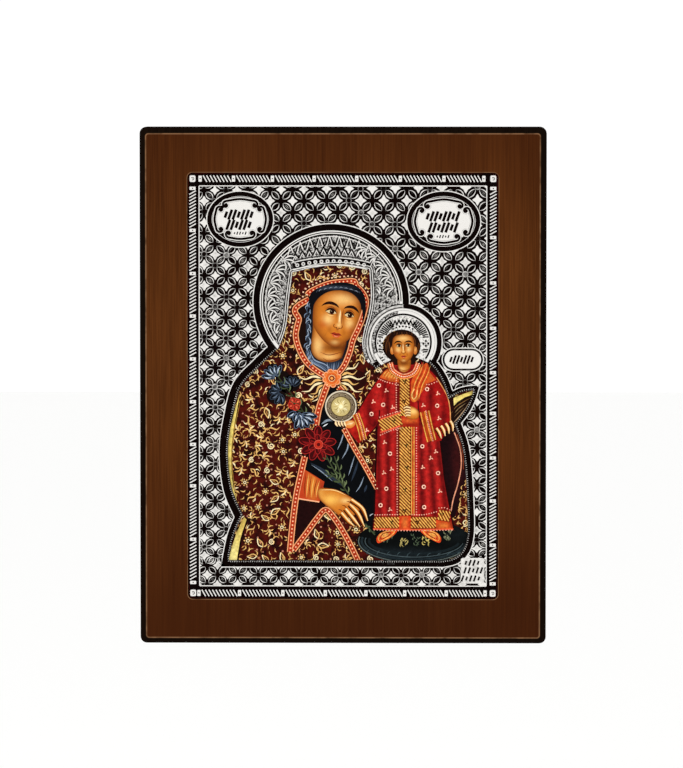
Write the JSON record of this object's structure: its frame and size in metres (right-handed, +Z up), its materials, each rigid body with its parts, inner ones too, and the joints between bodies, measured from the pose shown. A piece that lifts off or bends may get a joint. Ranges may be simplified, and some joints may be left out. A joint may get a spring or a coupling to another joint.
{
  "type": "framed icon",
  "caption": "Wall icon: a dark wooden board with a sunk face holding a painted panel under a pierced, embossed silver cover, with a hanging hole in the back.",
  "frame": {"origin": "centre of the board's flat back, which rests against the wall", "axes": "+Z up to the top of the icon, -Y out of its face towards the viewer, +Y into the wall, +X to the viewer's right"},
  "size_m": [0.22, 0.02, 0.28],
  "materials": {
    "dark_wood": "dark brown stained veneer, satin lacquer, nearly black edge",
    "painting": "thin painted panel, egg tempera look under a satin varnish",
    "oxidised_silver": "embossed silver sheet, blackened in the hollows and polished on the heights"
  },
  "bodies": {
    "root": {"board": "dark_wood", "painted_panel": "painting", "silver_cover": "oxidised_silver"}
  },
  "joints": []
}
